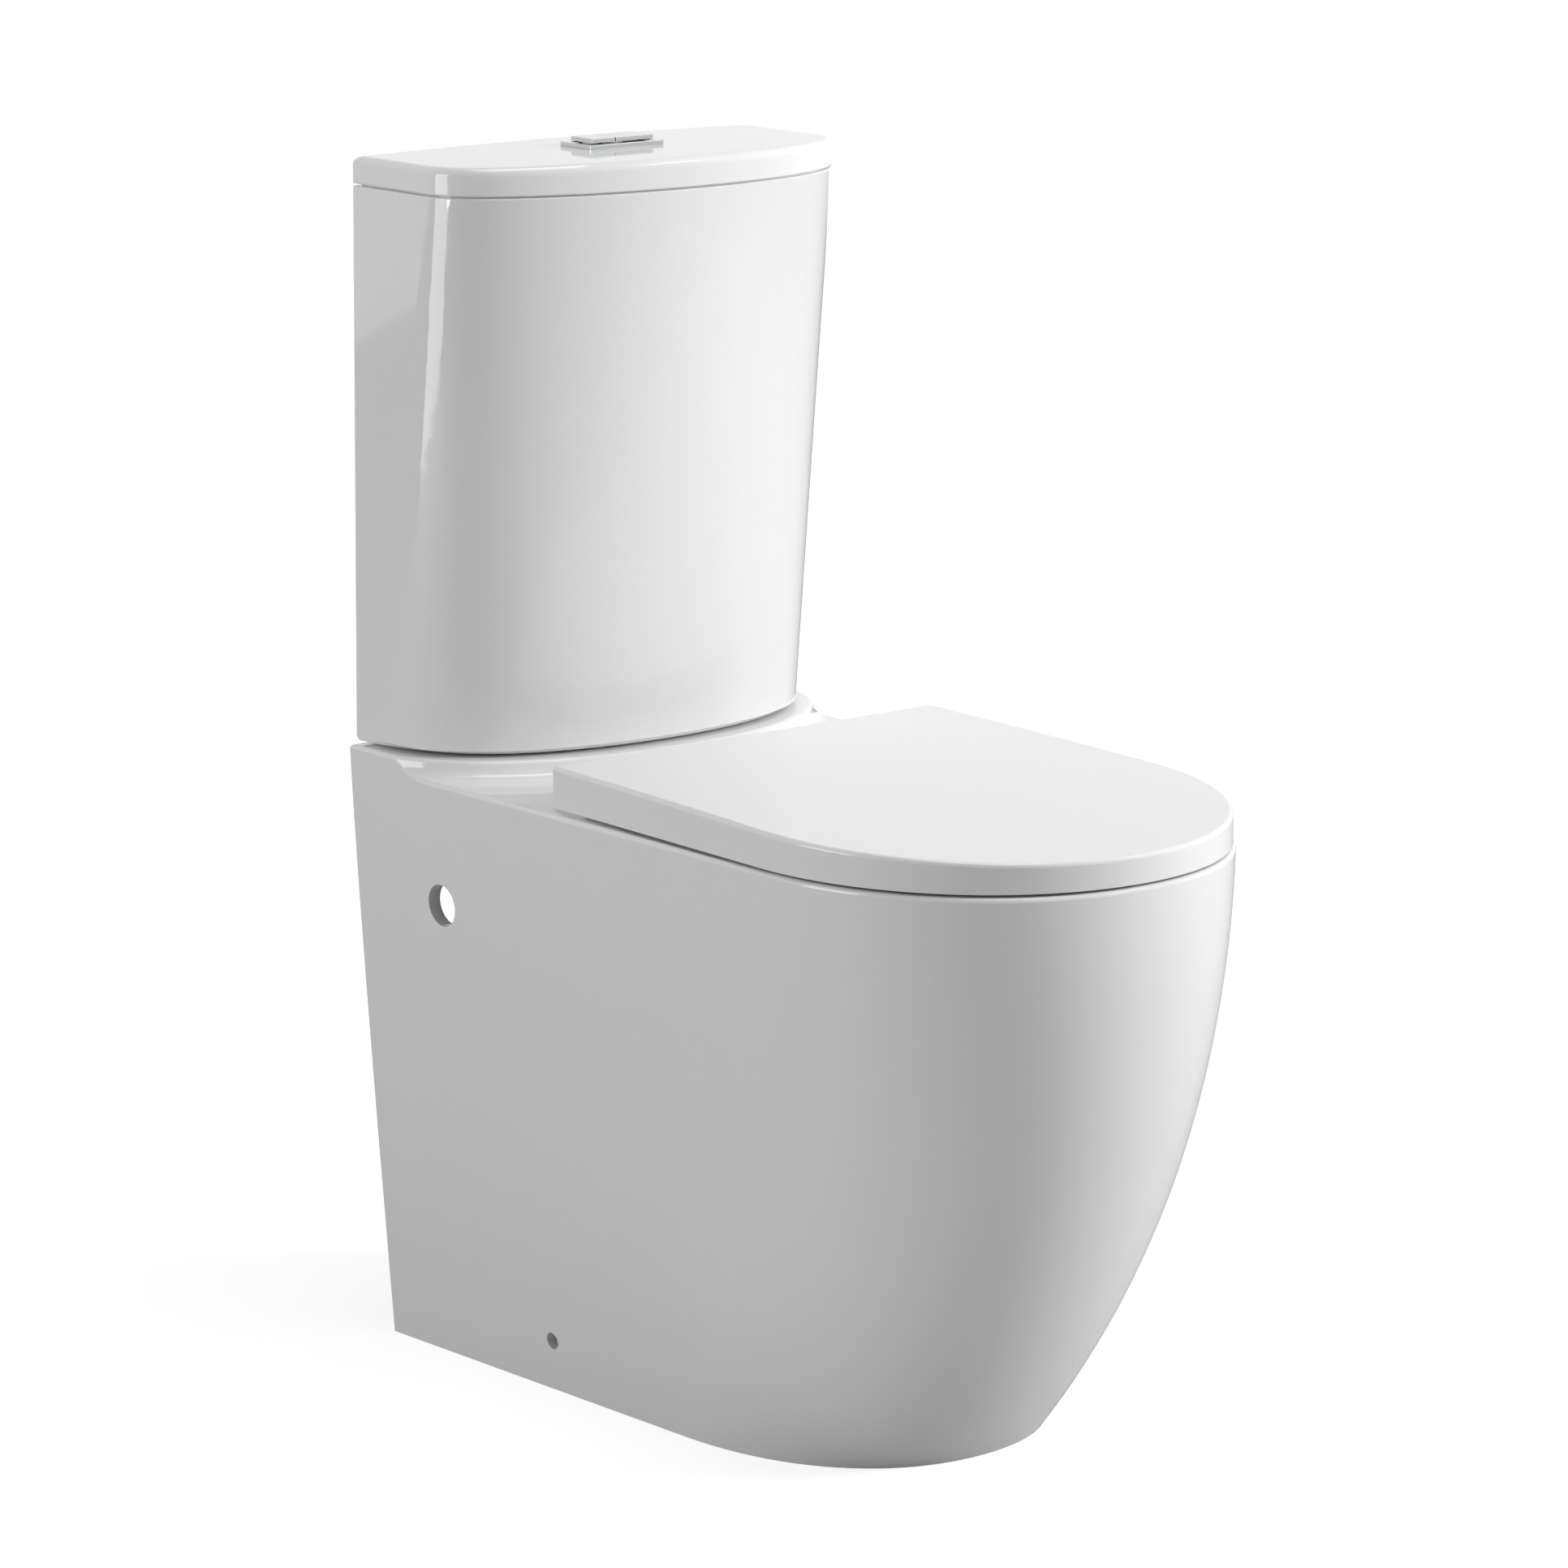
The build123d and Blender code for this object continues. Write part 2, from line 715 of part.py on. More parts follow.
# Seat ring
with BuildPart() as seat_ring:
    with BuildSketch(Plane.XY.offset(ring_bottom)):
        add(seat_outline(seat_lid_skirt + ring_gap, ring_back))
    extrude(amount=2 * (lid_back_top - ring_bottom))
    add(seat_profile(seat_lid_plate + lid_buffer_height), mode=Mode.INTERSECT)
    with BuildSketch(Plane.XY.offset(ring_bottom)):
        with Locations((0, -bowl_centre)):
            Ellipse(ring_hole_half_width, ring_hole_half_length)
    extrude(amount=2 * (lid_back_top - ring_bottom), mode=Mode.SUBTRACT)
    hole_edges = seat_ring.edges().filter_by(
        lambda edge: abs(edge.bounding_box().size.X - 2 * ring_hole_half_width) < 0.1
    )
    fillet(hole_edges, ring_edge)
    with BuildSketch(Plane.YZ.offset(ring_knuckle_start)):
        with Locations((-hinge_setback, hinge_height)):
            Circle(knuckle_radius)
            Rectangle(knuckle_radius + 2 * hinge_side_gap, knuckle_radius + knuckle_radius / 2,
                      align=(Align.MAX, Align.CENTER))
    knuckle = extrude(amount=knuckle_width)
    mirror(knuckle, about=Plane.YZ)
    add(both_sides(across_hinge(pin_start, knuckle_width, pin_bore)), mode=Mode.SUBTRACT)
seat_ring.part.label = "seat_ring"
export_step(seat_ring.part, "parts/seat_ring.step")

# Hinge posts: a round foot on the deck, a neck and an eye for the pin
with BuildPart() as hinge_posts:
    add(discs(hinge_places, rim_height, post_foot_height, post_foot_radius))
    with BuildSketch(Plane.XY.offset(rim_height)):
        with Locations(*hinge_places):
            Rectangle(post_width, 2 * knuckle_radius)
    extrude(amount=hinge_height - rim_height)
    add(both_sides(across_hinge(post_side, post_width, knuckle_radius)))
    add(both_sides(across_hinge(post_side, post_width, pin_bore)), mode=Mode.SUBTRACT)
    add(discs(hinge_places, rim_height, hinge_bolt_seat, hinge_bolt_radius + running_clearance), mode=Mode.SUBTRACT)
hinge_posts.part.label = "hinge_posts"
export_step(hinge_posts.part, "parts/hinge_posts.step")

with BuildPart() as hinge_pins:
    add(both_sides(across_hinge(
        pin_start + running_clearance, pin_length - 2 * running_clearance, hinge_pin_radius
    )))
hinge_pins.part.label = "hinge_pins"
export_step(hinge_pins.part, "parts/hinge_pins.step")

# Hinge bolts with the bushes and nuts that hold them under the deck
hinge_bolt_top = rim_height + hinge_bolt_seat - slip_clearance
hinge_bush_bottom = deck_underside - hinge_bush_flange_height
with BuildPart() as hinge_bolts:
    add(discs(hinge_places, hinge_bolt_top - hinge_bolt_length, hinge_bolt_length, hinge_bolt_radius))
hinge_bolts.part.label = "hinge_bolts"
export_step(hinge_bolts.part, "parts/hinge_bolts.step")

with BuildPart() as hinge_bushes:
    add(discs(hinge_places, deck_underside, deck_thickness,
              hinge_hole_radius - slip_clearance, hinge_bolt_radius + running_clearance))
    add(discs(hinge_places, hinge_bush_bottom, hinge_bush_flange_height,
              hinge_bush_flange_radius, hinge_bolt_radius + running_clearance))
hinge_bushes.part.label = "hinge_bushes"
export_step(hinge_bushes.part, "parts/hinge_bushes.step")

with BuildPart() as hinge_nuts:
    add(hex_nuts(hinge_places, hinge_bush_bottom - hinge_nut_height, hinge_nut_height,
                 hinge_nut_across, hinge_bolt_radius + running_clearance))
hinge_nuts.part.label = "hinge_nuts"
export_step(hinge_nuts.part, "parts/hinge_nuts.step")

# Buffers under the ring and under the lid, placed round the middle of the ring's face
def round_ring(angles):
    """Places on the ring's middle line at the given angles from its widest part, on both sides."""
    half_width = (ring_hole_half_width + seat_side_half) / 2
    half_length = (ring_hole_half_length + seat_front - bowl_centre) / 2
    return [
        (side * half_width * math.cos(math.radians(angle)), half_length * math.sin(math.radians(angle)) - bowl_centre)
        for side in (-1, 1)
        for angle in angles
    ]


with BuildPart() as ring_buffers:
    add(discs(round_ring(ring_buffer_angles), rim_height, ring_buffer_height, buffer_radius))
ring_buffers.part.label = "ring_buffers"
export_step(ring_buffers.part, "parts/ring_buffers.step")

with BuildPart() as lid_buffers:
    add(discs(round_ring(lid_buffer_angles), ring_bottom, lid_back_top - ring_bottom, buffer_radius))
    add(seat_profile(seat_lid_plate), mode=Mode.INTERSECT)
    add(seat_profile(seat_lid_plate + lid_buffer_height - loose_clearance), mode=Mode.SUBTRACT)
lid_buffers.part.label = "lid_buffers"
export_step(lid_buffers.part, "parts/lid_buffers.step")

# Button housing: bezel on the lid, a threaded tube through it and a guide for the two stems
with BuildPart() as button_housing:
    with BuildSketch(Plane.XY.offset(lid_top)):
        with Locations(valve_centre):
            RectangleRounded(bezel_length, bezel_depth, bezel_corner)
    extrude(amount=bezel_height)
    fillet(button_housing.edges().group_by(Axis.Z)[-1], bezel_edge)
    with BuildSketch(Plane.XY.offset(lid_top + bezel_floor)):
        with Locations(valve_centre):
            Rectangle(button_block + 2 * button_gap, button_depth + 2 * button_gap)
    extrude(amount=bezel_height, mode=Mode.SUBTRACT)
    add(discs([valve_centre], housing_bottom, housing_length, housing_radius, housing_bore))
    add(discs([valve_centre], housing_bottom, housing_guide, housing_radius))
    add(discs(rod_places, housing_bottom, housing_guide, stem_radius + running_clearance), mode=Mode.SUBTRACT)
    add(discs(rod_places, lid_top, bezel_floor, stem_radius + valve_clearance), mode=Mode.SUBTRACT)
button_housing.part.label = "button_housing"
export_step(button_housing.part, "parts/button_housing.step")

with BuildPart() as button_nut:
    add(discs([valve_centre], lid_top - lid_plate - housing_nut_height, housing_nut_height,
              housing_nut_radius, housing_radius + running_clearance))
button_nut.part.label = "button_nut"
export_step(button_nut.part, "parts/button_nut.step")


def flush_button(start, length, place):
    """Button cap from start along X, with its stem and the collar that the spring pushes on."""
    with BuildPart() as button:
        with BuildSketch(Plane.XY.offset(button_bottom)):
            with Locations((start, -valve_setback)):
                Rectangle(length, button_depth, align=(Align.MIN, Align.CENTER))
        extrude(amount=button_height)
        fillet(button.edges().filter_by(Axis.Z) + button.edges().group_by(Axis.Z)[-1], button_edge)
        add(discs([place], stem_bottom, button_bottom - stem_bottom, stem_radius))
        add(discs([place], guide_top + spring_length, spring_seat_height, rod_sleeve_radius))
    return button.part


half_place, full_place = rod_places
with BuildPart() as half_flush_button:
    add(flush_button(-button_block / 2, half_button_length, half_place))
half_flush_button.part.label = "half_flush_button"
export_step(half_flush_button.part, "parts/half_flush_button.step")

with BuildPart() as full_flush_button:
    add(flush_button(-button_block / 2 + half_button_length + button_slit,
                     button_block - half_button_length - button_slit, full_place))
full_flush_button.part.label = "full_flush_button"
export_step(full_flush_button.part, "parts/full_flush_button.step")


def push_rod(place):
    """Rod clipped to a button's stem, with a round tip above its lever."""
    with BuildPart() as rod:
        tip_centre = lift_bar_bottom + rod_radius
        add(discs([place], rod_top - rod_sleeve_length, rod_sleeve_length, rod_sleeve_radius))
        add(discs([place], tip_centre, rod_top - rod_sleeve_length - tip_centre, rod_radius))
        with Locations((*place, tip_centre)):
            Sphere(rod_radius)
        add(discs([place], stem_bottom, rod_top - stem_bottom, stem_radius + running_clearance), mode=Mode.SUBTRACT)
    return rod.part


for name, place in (("half", half_place), ("full", full_place)):
    with BuildPart() as button_spring:
        add(discs([place], guide_top, spring_length, rod_sleeve_radius, rod_sleeve_radius - spring_wall))
    button_spring.part.label = f"{name}_button_spring"
    export_step(button_spring.part, f"parts/{name}_button_spring.step")
    with BuildPart() as button_rod:
        add(push_rod(place))
    button_rod.part.label = f"{name}_push_rod"
    export_step(button_rod.part, f"parts/{name}_push_rod.step")


# Flush valve: base, tower and head are one column over the outlet
def column_openings(bottom, height, width):
    """Blocks that cut four openings through the column's wall, one on each side."""
    with BuildPart() as blocks:
        with BuildSketch(Plane.XY.offset(bottom)):
            with Locations(valve_centre):
                with PolarLocations(tower_radius, 4):
                    Rectangle(4 * tower_wall, width)
        extrude(amount=height)
    return blocks.part


with BuildPart() as flush_valve_base:
    spigot_bottom = cistern_base - valve_tail
    add(discs([valve_centre], spigot_bottom, flange_bottom - spigot_bottom, valve_spigot_radius, valve_bore))
    add(discs([valve_centre], flange_bottom, valve_flange_height, valve_flange_radius, valve_bore))
    add(discs([valve_centre], flange_top, valve_seat_height, valve_seat_radius, valve_bore))
    add(discs([valve_centre], flange_top, tower_base - flange_top, tower_radius, tower_radius - tower_wall))
    add(column_openings(flange_top, tower_base - tower_ring_height - flange_top, tower_opening_width),
        mode=Mode.SUBTRACT)
flush_valve_base.part.label = "flush_valve_base"
export_step(flush_valve_base.part, "parts/flush_valve_base.step")

with BuildPart() as flush_valve_washer:
    add(discs([valve_centre], cistern_floor_top, washer_height, valve_flange_radius,
              valve_spigot_radius + running_clearance))
flush_valve_washer.part.label = "flush_valve_washer"
export_step(flush_valve_washer.part, "parts/flush_valve_washer.step")

with BuildPart() as flush_valve_nut:
    add(discs([valve_centre], cistern_base - valve_nut_height, valve_nut_height, valve_nut_radius,
              valve_spigot_radius + running_clearance))
flush_valve_nut.part.label = "flush_valve_nut"
export_step(flush_valve_nut.part, "parts/flush_valve_nut.step")

with BuildPart() as close_coupling_seal:
    seal_radius = coupling_recess_radius - valve_clearance
    add(discs([valve_centre], plinth_top - coupling_recess_depth, coupling_recess_depth + cistern_gap,
              seal_radius, seal_radius - coupling_seal_wall))
close_coupling_seal.part.label = "close_coupling_seal"
export_step(close_coupling_seal.part, "parts/close_coupling_seal.step")

with BuildPart() as flush_valve_tower:
    add(discs([valve_centre], tower_base, tower_top - tower_base, tower_radius, tower_radius - tower_wall))
    for tier in (0, 1):
        add(column_openings(tower_base + tower_ring_height + tier * tower_window_pitch,
                            tower_window_height, tower_window_width), mode=Mode.SUBTRACT)
    for guide_height in half_guide_heights:
        guide_end = half_rod_offset + 2 * half_rod_radius
        add(plates(
            [((-guide_end, -valve_setback - 2 * half_rod_radius),
              (-tower_radius + tower_wall / 2, -valve_setback + 2 * half_rod_radius))],
            guide_height, half_guide_height,
        ))
        add(discs([(-half_rod_offset, -valve_setback)], guide_height, half_guide_height,
                  half_rod_radius + running_clearance), mode=Mode.SUBTRACT)
flush_valve_tower.part.label = "flush_valve_tower"
export_step(flush_valve_tower.part, "parts/flush_valve_tower.step")

# Head: a cap on the tower with a pair of uprights for each lever
upright_start = lever_width / 2 + valve_clearance
upright_end = upright_start + head_upright_thickness
with BuildPart() as flush_valve_head:
    add(discs([valve_centre], tower_top, head_height, tower_radius, overflow_radius + running_clearance))
    add(plates(
        [((side * lever_pivot - head_upright_width / 2, -valve_setback + y_start),
          (side * lever_pivot + head_upright_width / 2, -valve_setback + y_start + head_upright_thickness))
         for side in (-1, 1) for y_start in (-upright_end, upright_start)],
        tower_top, lever_height + head_upright_cap - tower_top,
    ))
    add(along_y([(side * lever_pivot, -valve_setback, lever_height) for side in (-1, 1)],
                2 * upright_end + 2, lever_pin_radius + running_clearance), mode=Mode.SUBTRACT)
flush_valve_head.part.label = "flush_valve_head"
export_step(flush_valve_head.part, "parts/flush_valve_head.step")

with BuildPart() as lever_pins:
    add(along_y([(side * lever_pivot, -valve_setback, lever_height) for side in (-1, 1)],
                2 * upright_end, lever_pin_radius))
lever_pins.part.label = "lever_pins"
export_step(lever_pins.part, "parts/lever_pins.step")

with BuildPart() as full_lift_lever:
    add(plates([((lever_inner_end, -valve_setback - lever_width / 2), (lever_end, -valve_setback + lever_width / 2))],
               lever_height - lever_thickness / 2, lever_thickness))
    add(along_y([(lever_pivot, -valve_setback, lever_height)], 2 * lever_width,
                lever_pin_radius + running_clearance), mode=Mode.SUBTRACT)
full_lift_lever.part.label = "full_lift_lever"
export_step(full_lift_lever.part, "parts/full_lift_lever.step")

with BuildPart() as half_lift_lever:
    add(full_lift_lever.part.mirror(Plane.YZ))
half_lift_lever.part.label = "half_lift_lever"
export_step(half_lift_lever.part, "parts/half_lift_lever.step")

# Overflow tube: it carries the seal at its foot and a yoke over the full-flush lever at its top
with BuildPart() as overflow_tube:
    yoke_start = upright_end + 2 * valve_clearance
    add(discs([valve_centre], tube_bottom, overflow_top - tube_bottom, overflow_radius))
    add(discs([valve_centre], tube_bottom, overflow_seat_height, flush_seal_radius - yoke_thickness))
    add(discs([valve_centre], float_seat - float_seat_height, float_seat_height, overflow_radius + 2 * overflow_wall))
    add(plates(
        [((overflow_radius - overflow_wall, -valve_setback + y_start),
          (lift_bar_end, -valve_setback + y_start + yoke_thickness))
         for y_start in (-yoke_start - yoke_thickness, yoke_start)],
        overflow_top - yoke_overlap, lift_bar_bottom + lever_bar_width - overflow_top + yoke_overlap,
    ))
    add(plates(
        [((lift_bar_end - lever_bar_width, -valve_setback - yoke_start - yoke_thickness),
          (lift_bar_end, -valve_setback + yoke_start + yoke_thickness))],
        lift_bar_bottom, lever_bar_width,
    ))
    add(plates(
        [((0, -valve_setback + y_start), (overflow_radius, -valve_setback + y_start + yoke_thickness))
         for y_start in (-yoke_start - yoke_thickness, yoke_start)],
        overflow_top - yoke_overlap, yoke_overlap,
    ))
    add(discs([valve_centre], tube_bottom, overflow_top - tube_bottom, overflow_radius - overflow_wall),
        mode=Mode.SUBTRACT)
overflow_tube.part.label = "overflow_tube"
export_step(overflow_tube.part, "parts/overflow_tube.step")

with BuildPart() as flush_seal:
    add(discs([valve_centre], valve_seat_top, flush_seal_height, flush_seal_radius, overflow_radius - overflow_wall))
flush_seal.part.label = "flush_seal"
export_step(flush_seal.part, "parts/flush_seal.step")

with BuildPart() as full_flush_float:
    add(discs([valve_centre], float_seat, full_float_height, full_float_radius, overflow_radius + running_clearance))
full_flush_float.part.label = "full_flush_float"
export_step(full_flush_float.part, "parts/full_flush_float.step")

# Half-flush link: a bar over the half-flush lever, a rod beside the tower and a small float
half_rod_place = (-half_rod_offset, -valve_setback)
with BuildPart() as half_flush_link:
    add(plates([((-half_rod_offset - 2 * half_rod_radius, -valve_setback - 2 * half_rod_radius),
                 (-lift_bar_end + lever_bar_width, -valve_setback + 2 * half_rod_radius))],
               lift_bar_bottom, lever_bar_width))
    add(discs([half_rod_place], float_seat, lift_bar_bottom - float_seat, half_rod_radius))
half_flush_link.part.label = "half_flush_link"
export_step(half_flush_link.part, "parts/half_flush_link.step")

with BuildPart() as half_flush_float:
    add(discs([half_rod_place], float_seat + float_seat_height, half_float_height, half_float_radius,
              half_rod_radius + running_clearance))
half_flush_float.part.label = "half_flush_float"
export_step(half_flush_float.part, "parts/half_flush_float.step")

# Fill valve: a threaded tail through the cistern floor, a stem, and a head that the float's lever closes
with BuildPart() as fill_valve_body:
    tail_bottom = cistern_base - fill_tail_length
    shank_bottom = cistern_base - fill_shank_length
    add(discs([fill_centre], tail_bottom, shank_bottom - tail_bottom, fill_tail_radius))
    add(discs([fill_centre], shank_bottom, flange_bottom - shank_bottom, fill_shank_radius))
    add(discs([fill_centre], flange_bottom, valve_flange_height, fill_flange_radius))
    add(discs([fill_centre], flange_top, fill_stem_top - flange_top, fill_stem_radius))
    add(discs([fill_centre], float_base - float_seat_height, float_seat_height, fill_stop_radius))
    add(discs([fill_centre], tail_bottom, fill_stem_top - tail_bottom, fill_bore), mode=Mode.SUBTRACT)
fill_valve_body.part.label = "fill_valve_body"
export_step(fill_valve_body.part, "parts/fill_valve_body.step")

with BuildPart() as fill_valve_washer:
    add(discs([fill_centre], cistern_floor_top, washer_height, fill_flange_radius,
              fill_shank_radius + running_clearance))
fill_valve_washer.part.label = "fill_valve_washer"
export_step(fill_valve_washer.part, "parts/fill_valve_washer.step")

with BuildPart() as fill_valve_nut:
    add(hex_nuts([fill_centre], cistern_base - valve_nut_height, valve_nut_height, fill_nut_across,
                 fill_shank_radius + running_clearance))
fill_valve_nut.part.label = "fill_valve_nut"
export_step(fill_valve_nut.part, "parts/fill_valve_nut.step")

fill_head_top = fill_stem_top + fill_head_height
ear_start = float_lever_width / 2 + valve_clearance
ear_end = ear_start + head_upright_thickness
float_lever_place = (float_lever_pivot, -fill_setback, float_lever_height)
with BuildPart() as fill_valve_head:
    add(discs([fill_centre], fill_stem_top, fill_head_height, fill_head_radius))
    fillet(fill_valve_head.edges().group_by(Axis.Z)[-1], fill_head_edge)
    add(plates(
        [((float_lever_pivot - float_lever_boss, -fill_setback + y_start),
          (float_lever_pivot + float_lever_boss, -fill_setback + y_start + head_upright_thickness))
         for y_start in (-ear_end, ear_start)],
        fill_head_top - fill_head_edge, fill_head_edge + 2 * float_lever_rise,
    ))
    add(along_y([float_lever_place], 2 * ear_end + 2, lever_pin_radius + running_clearance), mode=Mode.SUBTRACT)
fill_valve_head.part.label = "fill_valve_head"
export_step(fill_valve_head.part, "parts/fill_valve_head.step")

with BuildPart() as float_lever_pin:
    add(along_y([float_lever_place], 2 * ear_end, lever_pin_radius))
float_lever_pin.part.label = "float_lever_pin"
export_step(float_lever_pin.part, "parts/float_lever_pin.step")

with BuildPart() as float_lever:
    add(plates(
        [((float_lever_pivot - float_lever_length, -fill_setback - float_lever_width / 2),
          (float_lever_pivot, -fill_setback + float_lever_width / 2))],
        float_lever_height - float_lever_thickness / 2, float_lever_thickness,
    ))
    add(along_y([float_lever_place], float_lever_width, float_lever_boss))
    add(along_y([float_lever_place], 2 * float_lever_width, lever_pin_radius + running_clearance), mode=Mode.SUBTRACT)
float_lever.part.label = "float_lever"
export_step(float_lever.part, "parts/float_lever.step")

# Float cup: an upturned cup that slides on the stem, with the rod that lifts the lever
float_rod_place = (fill_offset - float_radius, -fill_setback)
with BuildPart() as float_cup:
    add(discs([fill_centre], float_base, float_height, float_radius))
    fillet(float_cup.edges().group_by(Axis.Z)[-1], fill_head_edge)
    add(discs([fill_centre], float_base, float_height - float_wall, float_radius - float_wall,
              fill_stem_radius + float_wall), mode=Mode.SUBTRACT)
    add(discs([fill_centre], float_base, float_height, fill_stem_radius + running_clearance), mode=Mode.SUBTRACT)
    add(discs([float_rod_place], float_base, float_height, 2 * float_rod_radius))
    add(discs([float_rod_place], float_base, float_height, float_rod_radius + running_clearance), mode=Mode.SUBTRACT)
float_cup.part.label = "float_cup"
export_step(float_cup.part, "parts/float_cup.step")

with BuildPart() as float_rod:
    float_rod_top = float_lever_height - float_lever_thickness / 2 - valve_clearance
    add(discs([float_rod_place], float_base, float_rod_top - float_base, float_rod_radius))
float_rod.part.label = "float_rod"
export_step(float_rod.part, "parts/float_rod.step")

# Bolts that hold the cistern down on the pan
tie_head_bottom = flange_bottom + tie_washer_height
tie_lower_face = deck_underside - washer_height
with BuildPart() as tie_bolts:
    add(discs(tie_places, tie_head_bottom, tie_head_height, tie_head_radius))
    fillet(tie_bolts.edges().group_by(Axis.Z)[-1], tie_head_height / 2)
    add(discs(tie_places, tie_end, tie_head_bottom - tie_end, tie_radius))
tie_bolts.part.label = "tie_bolts"
export_step(tie_bolts.part, "parts/tie_bolts.step")

tie_bore = tie_radius + running_clearance
with BuildPart() as tie_rubber_washers:
    add(discs(tie_places, cistern_floor_top, washer_height, tie_washer_radius, tie_bore))
    add(discs(tie_places, tie_lower_face, washer_height, tie_washer_radius, tie_bore))
tie_rubber_washers.part.label = "tie_rubber_washers"
export_step(tie_rubber_washers.part, "parts/tie_rubber_washers.step")

with BuildPart() as tie_steel_washers:
    add(discs(tie_places, flange_bottom, tie_washer_height, tie_washer_radius, tie_bore))
    add(discs(tie_places, tie_lower_face - tie_washer_height, tie_washer_height, tie_washer_radius, tie_bore))
tie_steel_washers.part.label = "tie_steel_washers"
export_step(tie_steel_washers.part, "parts/tie_steel_washers.step")

with BuildPart() as tie_wing_nuts:
    wing_nut_top = tie_lower_face - tie_washer_height
    add(discs(tie_places, wing_nut_top - wing_nut_height, wing_nut_height, wing_nut_radius))
    add(plates(
        [((x - wing_span / 2, y - wing_thickness / 2), (x + wing_span / 2, y + wing_thickness / 2))
         for x, y in tie_places],
        wing_nut_top - wing_height, wing_height - washer_height,
    ))
    add(discs(tie_places, wing_nut_top - wing_height, wing_height, tie_bore), mode=Mode.SUBTRACT)
tie_wing_nuts.part.label = "tie_wing_nuts"
export_step(tie_wing_nuts.part, "parts/tie_wing_nuts.step")
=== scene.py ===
"""Looks of a close-coupled toilet suite: glazed china, moulded seat, chrome flush plate and hidden valves."""
import json
import math

import bpy
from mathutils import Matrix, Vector

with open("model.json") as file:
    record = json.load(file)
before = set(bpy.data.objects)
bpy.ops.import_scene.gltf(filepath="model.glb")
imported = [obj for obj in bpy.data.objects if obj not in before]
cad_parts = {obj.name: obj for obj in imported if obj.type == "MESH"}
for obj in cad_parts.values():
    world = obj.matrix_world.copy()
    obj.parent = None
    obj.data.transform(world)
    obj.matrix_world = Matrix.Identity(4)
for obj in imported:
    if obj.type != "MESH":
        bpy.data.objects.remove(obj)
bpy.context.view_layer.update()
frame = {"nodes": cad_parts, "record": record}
nodes = frame["nodes"]

# Camera: solved on the photograph's edges
CAMERA_PLACE = (-2.4478, -3.3047, 1.2809)
CAMERA_TURN = math.radians(-38.79)
CAMERA_DIP = math.radians(12.33)
SENSOR = 36.0
FOCAL_PIXELS = 7173.6
PHOTO_PIXELS = 1932

# Studio: metres and watts
MIDDLE_DEPTH = -0.3
AIM = Vector((0.0, MIDDLE_DEPTH, 0.45))
FILL_LIGHT = 0.22
WHITE_LIGHT = 1.0
FLOOR_RADIUS = 6.0
FLOOR_CORNERS = 96
FLOOR_GREY = 0.5
SHADOW_REACH = 0.5
WHITE_REACH = 2.2
GLOW_IN_SHADOW = 0.74
GLOW_FAR_OUT = 1.0
LAMPS = {
    "lamp_right": {"place": (2.6, -2.55, 1.75), "size": (1.4, 1.7), "power": 122, "mirrored": False},
    "lamp_rim": {"place": (1.8, -2.1, 2.9), "size": (0.9, 0.3), "power": 6},
    "lamp_left": {"place": (-2.8, 0.4, 0.9), "size": (1.2, 1.8), "power": 25},
    "lamp_above": {"place": (0.3, -0.4, 5.0), "size": (2.4, 2.4), "power": 56},
    "lamp_strip": {"place": (-3.0, -0.25, 0.32), "size": (0.2, 0.22), "power": 3},
}

# Glaze: waves per metre, depth in metres
GLAZE_SKIN = 420.0
GLAZE_SKIN_SHARE = 0.02
GLAZE_CLOUD = 3.5
GLAZE_DEPTH = 0.002
PINHOLES = 38.0
PINHOLE_SIZE = 0.012
PINHOLE_STRENGTH = 0.35
PINHOLE_COLOUR = (0.25, 0.22, 0.18, 1)

# Moulded plastic
SINK_WAVES = 14.0
RUB_MARKS = 40.0
GRAIN_SHARE = 0.15
RUB_SHADE = 0.5
MOULD_DEPTH = 0.0008

# Worked metal
POLISH_LINES = 900.0
SMUDGES = 90.0
POLISH_DEPTH = 0.0002

FLOAT = "NodeSocketFloat"
COLOUR = "NodeSocketColor"
VECTOR = "NodeSocketVector"


def looking_along(turn, dip):
    """Direction of a level view turned about Z from +Y and then dipped below the horizon."""
    return Vector((-math.sin(turn) * math.cos(dip), math.cos(turn) * math.cos(dip), -math.sin(dip)))


def make_camera():
    """Camera at the photograph's place, angle and focal length."""
    lens = bpy.data.cameras.new("camera")
    lens.sensor_width = SENSOR
    lens.lens = FOCAL_PIXELS / PHOTO_PIXELS * SENSOR
    camera = bpy.data.objects.new("camera", lens)
    camera.location = CAMERA_PLACE
    camera.rotation_euler = looking_along(CAMERA_TURN, CAMERA_DIP).to_track_quat("-Z", "Y").to_euler()
    bpy.context.scene.collection.objects.link(camera)
    bpy.context.scene.camera = camera


